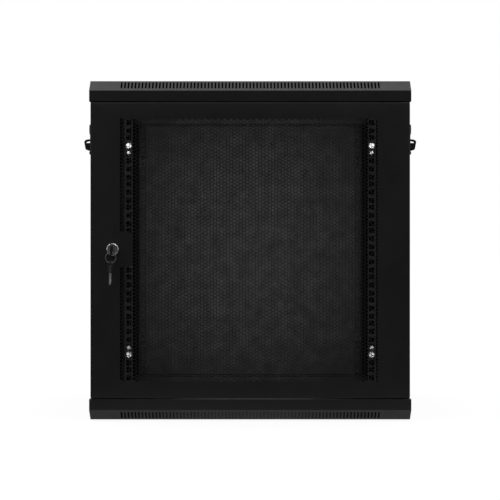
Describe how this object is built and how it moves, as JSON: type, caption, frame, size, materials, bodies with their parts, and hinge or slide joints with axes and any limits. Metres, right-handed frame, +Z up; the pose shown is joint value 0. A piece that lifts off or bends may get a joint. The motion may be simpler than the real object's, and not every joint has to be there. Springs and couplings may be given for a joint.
{
  "type": "wall-mount network rack cabinet",
  "caption": "Wall-mount 19-inch network rack cabinet: bolted sheet-steel frame, perforated locking door, latched removable side panels and rack rails that adjust in depth.",
  "frame": {"origin": "centre of the wall bolt pattern, on the back face of the rear panel", "axes": "+X right seen from the front, +Y from the door towards the wall, +Z up"},
  "size_m": [0.6312, 0.6394, 0.635],
  "materials": {
    "black_powder_coat": "fine textured matt black powder coat on folded sheet steel",
    "black_screws": "black zinc plate",
    "zinc_plate": "bright zinc plate",
    "chrome_plate": "polished chrome plate",
    "lock_zinc": "satin die-cast zinc",
    "key_steel": "nickel plate",
    "spring_steel": "drawn spring wire",
    "key_plastic": "black moulded plastic",
    "latch_plastic": "black glass-filled nylon",
    "nylon": "black acetal",
    "rubber": "matt"
  },
  "bodies": {
    "cabinet": {"top_panel": "black_powder_coat", "bottom_panel": "black_powder_coat", "rear_panel": "black_powder_coat", "front_left_upright": "black_powder_coat", "front_right_upright": "black_powder_coat", "rear_left_upright": "black_powder_coat", "rear_right_upright": "black_powder_coat", "left_upper_depth_rail": "black_powder_coat", "left_lower_depth_rail": "black_powder_coat", "right_upper_depth_rail": "black_powder_coat", "right_lower_depth_rail": "black_powder_coat", "depth_rail_screws": "zinc_plate", "frame_screws": "black_screws", "rear_panel_screws": "black_screws", "top_cable_cover": "black_powder_coat", "bottom_cable_cover": "black_powder_coat", "cable_cover_screws": "black_screws", "upper_hinge_bush": "nylon", "lower_hinge_bush": "nylon", "door_buffers": "rubber", "earth_stud": "zinc_plate"},
    "door": {"door_panel": "black_powder_coat", "upper_hinge_bracket": "zinc_plate", "lower_hinge_bracket": "zinc_plate", "lower_hinge_pin": "zinc_plate", "upper_hinge_spring": "spring_steel", "lock_body": "chrome_plate", "lock_nut": "zinc_plate"},
    "hinge_pin": {"upper_hinge_pin": "zinc_plate"},
    "lock_core": {"lock_plug": "lock_zinc", "lock_cam": "zinc_plate", "cam_screw": "zinc_plate", "door_key": "key_steel", "door_key_head": "key_plastic"},
    "key_bunch": {"key_ring": "key_steel", "spare_key": "key_steel", "spare_key_head": "key_plastic"},
    "left_side": {"left_side_panel": "black_powder_coat", "left_latch_housings": "latch_plastic"},
    "right_side": {"right_side_panel": "black_powder_coat", "right_latch_housings": "latch_plastic"},
    "left_front_slide": {"left_front_latch": "latch_plastic"},
    "left_rear_slide": {"left_rear_latch": "latch_plastic"},
    "right_front_slide": {"right_front_latch": "latch_plastic"},
    "right_rear_slide": {"right_rear_latch": "latch_plastic"},
    "front_left_mount": {"front_left_rail": "black_powder_coat", "front_left_rail_brackets": "black_powder_coat", "front_left_rail_bolts": "zinc_plate"},
    "front_right_mount": {"front_right_rail": "black_powder_coat", "front_right_rail_brackets": "black_powder_coat", "front_right_rail_bolts": "zinc_plate"},
    "rear_left_mount": {"rear_left_rail": "black_powder_coat", "rear_left_rail_brackets": "black_powder_coat", "rear_left_rail_bolts": "black_screws"},
    "rear_right_mount": {"rear_right_rail": "black_powder_coat", "rear_right_rail_brackets": "black_powder_coat", "rear_right_rail_bolts": "black_screws"}
  },
  "joints": [
    {"name": "door_hinge", "type": "hinge", "parent": "cabinet", "child": "door", "pos_m": [0.29, -0.591, 0], "axis": [0, 0, 1], "range_deg": [0, 180]},
    {"name": "upper_hinge_pin_slide", "type": "slide", "parent": "door", "child": "hinge_pin", "axis": [0, 0, -1], "range_m": [0, 0.008], "stiffness_N_per_m": 400, "springref_m": -0.01, "deforming": ["upper_hinge_spring"]},
    {"name": "lock_turn", "type": "hinge", "parent": "door", "child": "lock_core", "pos_m": [-0.256, -0.6, 0.0015], "axis": [0, 1, 0], "range_deg": [0, 90]},
    {"name": "key_ring_swing", "type": "hinge", "parent": "lock_core", "child": "key_bunch", "pos_m": [-0.256, -0.62875, -0.00805], "axis": [0, 1, 0], "range_deg": [-90, 0]},
    {"name": "left_side_panel_tilt", "type": "hinge", "parent": "cabinet", "child": "left_side", "pos_m": [-0.3, -0.289, -0.276], "axis": [0, -1, 0], "range_deg": [0, 15]},
    {"name": "right_side_panel_tilt", "type": "hinge", "parent": "cabinet", "child": "right_side", "pos_m": [0.3, -0.289, -0.276], "axis": [0, 1, 0], "range_deg": [0, 15]},
    {"name": "left_front_latch_slide", "type": "slide", "parent": "left_side", "child": "left_front_slide", "axis": [0, 0, 1], "range_m": [0, 0.006]},
    {"name": "left_rear_latch_slide", "type": "slide", "parent": "left_side", "child": "left_rear_slide", "axis": [0, 0, 1], "range_m": [0, 0.006]},
    {"name": "right_front_latch_slide", "type": "slide", "parent": "right_side", "child": "right_front_slide", "axis": [0, 0, 1], "range_m": [0, 0.006]},
    {"name": "right_rear_latch_slide", "type": "slide", "parent": "right_side", "child": "right_rear_slide", "axis": [0, 0, 1], "range_m": [0, 0.006]},
    {"name": "front_left_rail_depth", "type": "slide", "parent": "cabinet", "child": "front_left_mount", "axis": [0, 1, 0], "range_m": [0, 0.15]},
    {"name": "front_right_rail_depth", "type": "slide", "parent": "cabinet", "child": "front_right_mount", "axis": [0, 1, 0], "range_m": [0, 0.15]},
    {"name": "rear_left_rail_depth", "type": "slide", "parent": "cabinet", "child": "rear_left_mount", "axis": [0, -1, 0], "range_m": [-0.05, 0.1]},
    {"name": "rear_right_rail_depth", "type": "slide", "parent": "cabinet", "child": "rear_right_mount", "axis": [0, -1, 0], "range_m": [-0.05, 0.1]}
  ],
  "couplings": [
    {"joint": "key_ring_swing", "follows": "lock_turn", "ratio": -1}
  ]
}
